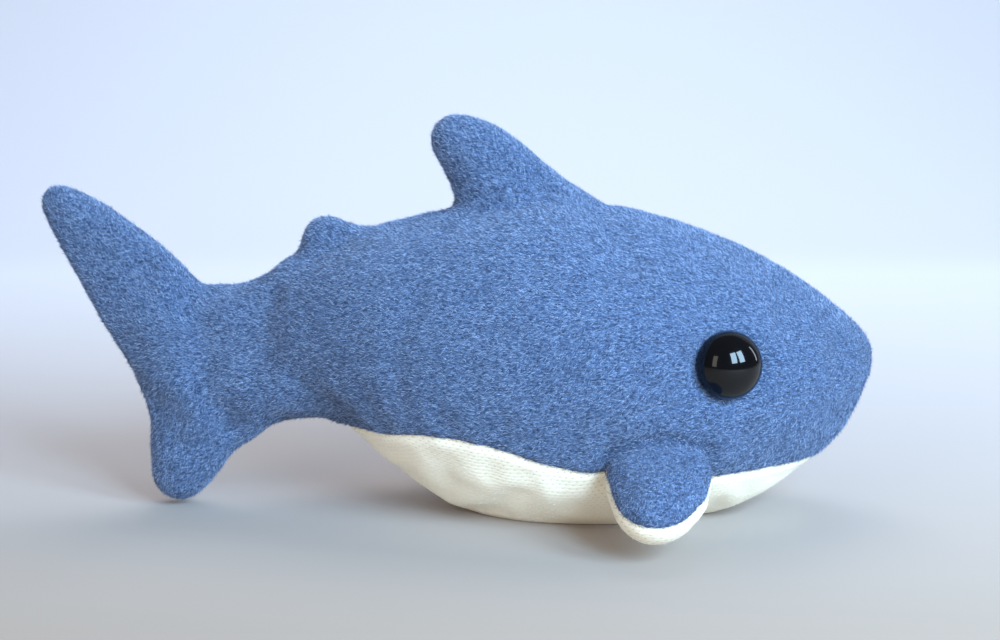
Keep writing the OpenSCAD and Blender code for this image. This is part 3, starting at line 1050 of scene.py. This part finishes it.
# each panel: its slot, the CAD nodes it stands for, how full it is
panelPlan = {
    "leftSideCloth": ("blue_cloth", ["left_side_panel", "body_stuffing"], 0.85),
    "rightSideCloth": ("blue_cloth", ["right_side_panel"], 0.85),
    "bellyCloth": ("cream_cloth", ["belly_panel"], 0.85),
    "tailLeftCloth": ("blue_cloth", ["tail_left_panel", "tail_stuffing"], 0.75),
    "tailRightCloth": ("blue_cloth", ["tail_right_panel"], 0.75),
    "backFinLeftCloth": ("blue_cloth", ["back_fin_left_panel", "back_fin_stuffing"], 0.75),
    "backFinRightCloth": ("blue_cloth", ["back_fin_right_panel"], 0.75),
}
for side in sides:
    panelPlan[side + "FinTopCloth"] = ("blue_cloth", [side + "_fin_top", side + "_fin_stuffing"], 0.8)
    panelPlan[side + "FinUnderCloth"] = ("cream_cloth", [side + "_fin_underside"], 0.8)


def makePanel(name):
    own = faces[panel == panelNumber[name]]
    used, local = np.unique(own, return_inverse=True)
    local = local.reshape(-1, 3)
    count = len(used)
    normals = skin["normal"][used]
    outer = skin["place"][used]
    inner = outer - normals * panelSettings["thickness"]
    inner[:, 2] = np.maximum(inner[:, 2], panelSettings["soleSpare"])
    edges = np.vstack([local[:, [0, 1]], local[:, [1, 2]], local[:, [2, 0]]])
    open_ = edges[~np.isin(edges[:, 0] * count + edges[:, 1], edges[:, 1] * count + edges[:, 0])]
    a, b = open_.T
    triangles = np.vstack([
        local,
        local[:, ::-1] + count,
        np.column_stack([b, a, a + count]),
        np.column_stack([b, a + count, b + count]),
    ])
    mesh = meshFrom(name, np.vstack([outer, inner]), triangles)
    for key, kind in (("grain", "FLOAT_VECTOR"), ("gap", "FLOAT")):
        putAttribute(mesh, key, kind, np.concatenate([skin[key][used]] * 2))
    mesh.normals_split_custom_set_from_vertices(np.vstack([normals, -normals]).tolist())
    piece = addObject(name, mesh)
    slot, replaced, fill = panelPlan[name]
    mesh.materials.append(looks[slot])
    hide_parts(*replaced)
    carry(piece, name)


for name in panelNames:
    makePanel(name)
print("panels sewn")


def geometryTree(name, inputs):
    tree = bpy.data.node_groups.new(name, "GeometryNodeTree")
    tree.interface.new_socket("Geometry", in_out="INPUT", socket_type="NodeSocketGeometry")
    tree.interface.new_socket("Geometry", in_out="OUTPUT", socket_type="NodeSocketGeometry")
    for label, kind in inputs:
        tree.interface.new_socket(label, in_out="INPUT", socket_type=kind)
    return tree, tree.nodes.new("NodeGroupInput"), tree.nodes.new("NodeGroupOutput")


def finishTree(tree, instances, material, end):
    real = node(tree, "GeometryNodeRealizeInstances", {0: instances}).outputs[0]
    painted = node(tree, "GeometryNodeSetMaterial", {"Geometry": real, "Material": material})
    feed(end, {"Geometry": painted.outputs[0]})


# Fuzz: short fibres combed toward the tail, made by Geometry Nodes

fuzz = {
    "blue": {"density": 7.0e6, "length": 1.15 * mm, "width": 0.065 * mm, "lean": 1.22, "mess": 0.75},
    "cream": {"density": 1.2e6, "length": 0.7 * mm, "width": 0.03 * mm, "lean": 1.2, "mess": 0.9},
}


def makeFuzzTree():
    tree, start, end = geometryTree("combedFuzz", [
        ("Density", "NodeSocketFloat"), ("Length", "NodeSocketFloat"), ("Width", "NodeSocketFloat"),
        ("Lean", "NodeSocketFloat"), ("Mess", "NodeSocketFloat"), ("Seed", "NodeSocketInt"),
        ("Material", "NodeSocketMaterial"),
    ])
    take = start.outputs
    inputs = {"Mesh": take["Geometry"], "Density": take["Density"], "Seed": take["Seed"]}
    scatter = node(tree, "GeometryNodeDistributePointsOnFaces", inputs, distribute_method="RANDOM")
    normal = scatter.outputs["Normal"]
    comb = node(tree, "GeometryNodeInputNamedAttribute", {"Name": "comb"}, data_type="FLOAT_VECTOR")
    inputs = {"Min": (-1, -1, -1), "Max": (1, 1, 1), "Seed": take["Seed"]}
    stray = node(tree, "FunctionNodeRandomValue", inputs, data_type="FLOAT_VECTOR")
    strayed = vectorMath(tree, "SCALE", stray.outputs[0], take["Mess"])
    lying = vectorMath(tree, "ADD", comb.outputs[0], strayed)
    lying = vectorMath(tree, "SCALE", lying, mathNode(tree, "SINE", take["Lean"]))
    rising = vectorMath(tree, "SCALE", normal, mathNode(tree, "COSINE", take["Lean"]))
    direction = vectorMath(tree, "ADD", lying, rising)
    # keep the fibres from pointing into the cloth
    dot = vectorMath(tree, "DOT_PRODUCT", direction, normal)
    lack = mathNode(tree, "MAXIMUM", mathNode(tree, "SUBTRACT", 0.12, dot), 0.0)
    direction = vectorMath(tree, "ADD", direction, vectorMath(tree, "SCALE", normal, lack))
    turn = node(tree, "FunctionNodeAlignRotationToVector", {"Vector": direction}, axis="Z")
    inputs = {"Vertices": 3, "Radius Top": 0, "Radius Bottom": 1, "Depth": 1}
    spike = node(tree, "GeometryNodeMeshCone", inputs, fill_type="NGON")
    longer = node(tree, "FunctionNodeRandomValue", {2: 0.5, 3: 1.35, "Seed": 7}, data_type="FLOAT")
    length = mathNode(tree, "MULTIPLY", take["Length"], longer.outputs[1])
    scale = node(tree, "ShaderNodeCombineXYZ", {0: take["Width"], 1: take["Width"], 2: length})
    place = node(tree, "GeometryNodeInstanceOnPoints", {
        "Points": scatter.outputs["Points"], "Instance": spike.outputs["Mesh"],
        "Rotation": turn.outputs[0], "Scale": scale.outputs[0],
    })
    tone = node(tree, "FunctionNodeRandomValue", {"Seed": 3}, data_type="FLOAT")
    inputs = {"Geometry": place.outputs[0], "Name": "tone", "Value": tone.outputs[1]}
    store = node(tree, "GeometryNodeStoreNamedAttribute", inputs, data_type="FLOAT", domain="INSTANCE")
    finishTree(tree, store.outputs[0], take["Material"], end)
    return tree


fuzzTree = makeFuzzTree()


def grow(source, tree, name, inputs):
    growing = source.modifiers.new("grow", "NODES")
    growing.node_group = tree
    for item in tree.interface.items_tree:
        if item.item_type == "SOCKET" and item.in_out == "INPUT" and item.name in inputs:
            growing[item.identifier] = inputs[item.name]
    ready = source.evaluated_get(bpy.context.evaluated_depsgraph_get())
    mesh = bpy.data.meshes.new_from_object(ready)
    source.modifiers.remove(growing)
    mesh.name = name
    while len(mesh.materials) > 1:
        mesh.materials.pop(index=0)
    mesh.polygons.foreach_set("material_index", np.zeros(len(mesh.polygons), np.int32))
    for extra in [a.name for a in mesh.attributes if a.name in ("comb", "UVMap", "uv_map")]:
        mesh.attributes.remove(mesh.attributes[extra])
    return addObject(name, mesh)


def makeFuzz(name, chosen, kind, seed):
    used, local = np.unique(faces[chosen], return_inverse=True)
    mesh = meshFrom(name + "Ground", skin["place"][used], local.reshape(-1, 3))
    putAttribute(mesh, "comb", "FLOAT_VECTOR", skin["comb"][used])
    ground = addObject(name + "Ground", mesh)
    values = {label.capitalize(): value for label, value in fuzz[kind].items()}
    piece = grow(ground, fuzzTree, name, {**values, "Seed": seed, "Material": looks[kind + "Fibre"]})
    bpy.data.objects.remove(ground)
    carry(piece, name)
    print("fuzz", name, len(piece.data.polygons), "faces")


faceX, _, faceZ = skin["place"][faces].mean(1).T
# the sides are grown in three lengths each, to keep every piece a fair size
fuzzStops = {"Rear": (-50 * mm, 12 * mm), "Middle": (12 * mm, 55 * mm), "Front": (55 * mm, 130 * mm)}
fuzzFrom = 1.5 * mm  # none on the flat sole
fuzzParts = [
    "leftSide", "rightSide", "tailLeft", "tailRight", "backFinLeft", "backFinRight",
    "leftFinTop", "rightFinTop", "belly", "leftFinUnder", "rightFinUnder",
]
for i, part in enumerate(fuzzParts):
    ground = (panel == panelNumber[part + "Cloth"]) & (faceZ > fuzzFrom)
    kind = "cream" if part.endswith(("belly", "Under")) else "blue"
    seed = 100 + 10 * i
    if part.endswith("Side"):
        for j, (end, (low, high)) in enumerate(fuzzStops.items()):
            makeFuzz(part + "Fuzz" + end, ground & (faceX >= low) & (faceX < high), kind, seed + j)
    else:
        makeFuzz(part + "Fuzz", ground, kind, seed)


# Eyes: a polished dome with a rounded rim on a ribbed shank, turned like the real ones

eyeShape = {
    "rimHeight": 1.0 * mm,
    # steps out from the radius, and their heights
    "rimRound": ((-0.6 * mm, 0.0), (-0.2 * mm, 0.15 * mm), (0.0, 0.5 * mm)),
    "domeSteps": 28,
    "around": 96,
    "shank": 2.6 * mm,
    "tip": 1 * mm,
    "ribs": 5,
    "ribsFrom": 2 * mm,  # above the shank's end
    "plainShank": 5 * mm,  # length without ribs
    "ribDepth": 0.35 * mm,
    "ribLip": 0.1 * mm,
}


def eyeProfile(radius, top, bottom):
    rim, shank = eyeShape["rimHeight"], eyeShape["shank"]
    line = [(0.0, bottom), (shank * 0.7, bottom), (shank, bottom + eyeShape["tip"])]
    pitch = (-bottom - eyeShape["plainShank"]) / eyeShape["ribs"]
    for i in range(eyeShape["ribs"]):
        height = bottom + eyeShape["ribsFrom"] + i * pitch
        edge = (shank + eyeShape["ribDepth"], height + eyeShape["ribLip"])
        line += [(shank, height), edge, (shank, height + pitch * 0.5)]
    line += [(shank, 0.0)] + [(radius + out, height) for out, height in eyeShape["rimRound"]]
    steps = eyeShape["domeSteps"]
    for i in range(steps + 1):
        turn = math.pi / 2 * i / steps
        line.append((radius * math.cos(turn), rim + (top - rim) * math.sin(turn)))
    line[-1] = (0.0, top)
    return line


def makeEye(side):
    centre, axis, radius = eyeAxis(side)
    heights = (readPoints(nodes[side + "_eye"].data) - centre) @ axis
    line = eyeProfile(radius, heights.max(), heights.min())
    across = unit(np.cross(axis, (0, 0, 1))[None])[0]
    up = np.cross(axis, across)
    count = eyeShape["around"]
    turns = [2 * math.pi * i / count for i in range(count)]

    # the shank stays on the line of its washer, and only the dome is moved
    def onAxis(out, height):
        inWasher = height <= 0 and out < radius / 2
        return centre + axis * height - np.array(surface["eyeNudge"]) * inWasher

    points = [onAxis(*line[0])]
    for out, height in line[1:-1]:
        points += [onAxis(out, height) + (across * math.cos(t) + up * math.sin(t)) * out for t in turns]
    points.append(onAxis(*line[-1]))
    last, rings = len(points) - 1, len(line) - 2
    polygons = []
    for i in range(count):
        j = (i + 1) % count
        polygons.append((0, 1 + j, 1 + i))
        for ring in range(rings - 1):
            low, high = 1 + ring * count, 1 + (ring + 1) * count
            polygons.append((low + i, low + j, high + j, high + i))
        top = 1 + (rings - 1) * count
        polygons.append((top + i, top + j, last))
    mesh = bpy.data.meshes.new(side + "EyeDome")
    mesh.from_pydata([tuple(p) for p in points], [], polygons)
    middle = sum((Vector(points[v]) for v in polygons[-1]), Vector()) / 3 - Vector(centre)
    if mesh.polygons[len(polygons) - 1].normal.dot(middle) < 0:
        mesh.flip_normals()
    mesh.shade_smooth()
    mesh.materials.append(looks["eye_gloss"])
    piece = addObject(side + "EyeDome", mesh)
    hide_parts(side + "_eye")
    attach(piece, "body")


for side in sides:
    makeEye(side)
    for place in nodes[side + "_eye_washer"].material_slots:
        place.material = looks["washer_plastic"]
print("eyes set")


# Stitches: short thread runs sunk in each seam, made by Geometry Nodes

stitch = {"pitch": 3.0 * mm, "length": 1.9 * mm, "thread": 0.2 * mm, "rise": 0.12 * mm, "dip": 0.35 * mm}
stitchPlaces = {"stalkTo": -20 * mm, "closing": (-10 * mm, 14 * mm)}


def makeStitchTree():
    tree, start, end = geometryTree("seamStitches", [
        ("Pitch", "NodeSocketFloat"), ("Length", "NodeSocketFloat"), ("Thread", "NodeSocketFloat"),
        ("Rise", "NodeSocketFloat"), ("Dip", "NodeSocketFloat"), ("Material", "NodeSocketMaterial"),
    ])
    take = start.outputs
    path = node(tree, "GeometryNodeMeshToCurve", {"Mesh": take["Geometry"]})
    inputs = {"Curve": path.outputs[0], "Length": take["Pitch"]}
    spaced = node(tree, "GeometryNodeResampleCurve", inputs, mode="LENGTH")
    half = mathNode(tree, "MULTIPLY", take["Length"], 0.5)
    low = mathNode(tree, "MULTIPLY", take["Dip"], -1.0)
    high = mathNode(tree, "ADD", mathNode(tree, "MULTIPLY", take["Rise"], 2.0), take["Dip"])
    first, last = (
        node(tree, "ShaderNodeCombineXYZ", {0: mathNode(tree, "MULTIPLY", half, sign), 2: low}).outputs[0]
        for sign in (-1.0, 1.0)
    )
    crown = node(tree, "ShaderNodeCombineXYZ", {2: high}).outputs[0]
    inputs = {"Resolution": 7, "Start": first, "Middle": crown, "End": last}
    bow = node(tree, "GeometryNodeCurveQuadraticBezier", inputs)
    ring = node(tree, "GeometryNodeCurvePrimitiveCircle", {"Resolution": 8, "Radius": take["Thread"]})
    inputs = {"Fill Caps": True, "Curve": bow.outputs[0], "Profile Curve": ring.outputs[0]}
    rope = node(tree, "GeometryNodeCurveToMesh", inputs)
    up = node(tree, "GeometryNodeInputNamedAttribute", {"Name": "up"}, data_type="FLOAT_VECTOR")
    inputs = {"Vector": node(tree, "GeometryNodeInputTangent").outputs[0]}
    lengthwise = node(tree, "FunctionNodeAlignRotationToVector", inputs, axis="X")
    inputs = {"Rotation": lengthwise.outputs[0], "Vector": up.outputs[0]}
    upright = node(tree, "FunctionNodeAlignRotationToVector", inputs, axis="Z", pivot_axis="X")
    inputs = {"Points": spaced.outputs[0], "Instance": rope.outputs[0], "Rotation": upright.outputs[0]}
    place = node(tree, "GeometryNodeInstanceOnPoints", inputs)
    finishTree(tree, place.outputs[0], take["Material"], end)
    return tree


stitchTree = makeStitchTree()


def linesOf(kind, cloth):
    return (lines[:, 2:4] == panelNumber[cloth + "Cloth"]).any(1) & (lines[:, 4] == seamKinds[kind])


x = skin["place"][lines[:, :2]].mean(1)[:, 0]
facesDown = skin["normal"][lines[:, :2]].mean(1)[:, 2] < 0
centreBody, leftBelly = linesOf("middle", "leftSide"), linesOf("belly", "leftSide")
stalk = centreBody & (x < stitchPlaces["stalkTo"]) & facesDown
closing = leftBelly & (x > stitchPlaces["closing"][0]) & (x < stitchPlaces["closing"][1])
stitchPlan = {
    "backSeamStitches": (centreBody & ~stalk, "blue_thread"),
    "stalkSeamStitches": (stalk, "blue_thread"),
    "closingStitches": (closing, "cream_thread"),
    "leftBellySeamStitches": (leftBelly & ~closing, "cream_thread"),
    "rightBellySeamStitches": (linesOf("belly", "rightSide"), "cream_thread"),
    "tailSeamStitches": (linesOf("middle", "tailLeft"), "blue_thread"),
    "backFinSeamStitches": (linesOf("middle", "backFinLeft"), "blue_thread"),
    "leftFinSeamStitches": (linesOf("finEdge", "leftFinTop"), "cream_thread"),
    "rightFinSeamStitches": (linesOf("finEdge", "rightFinTop"), "cream_thread"),
}


def makeStitches(name, chosen, slot):
    used, local = np.unique(lines[chosen][:, :2], return_inverse=True)
    mesh = bpy.data.meshes.new(name + "Path")
    mesh.from_pydata(skin["place"][used].tolist(), local.reshape(-1, 2).tolist(), [])
    putAttribute(mesh, "up", "FLOAT_VECTOR", skin["normal"][used])
    path = addObject(name + "Path", mesh)
    values = {label.capitalize(): value for label, value in stitch.items()}
    piece = grow(path, stitchTree, name, {**values, "Material": looks[slot]})
    bpy.data.objects.remove(path)
    piece.data.shade_smooth()
    # backSeamStitches stands for back_seam_stitches, and so on
    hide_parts("".join("_" + letter.lower() if letter.isupper() else letter for letter in name))
    carry(piece, name)
    print("stitches", name, len(piece.data.polygons), "faces")


for name, (chosen, slot) in stitchPlan.items():
    makeStitches(name, chosen, slot)
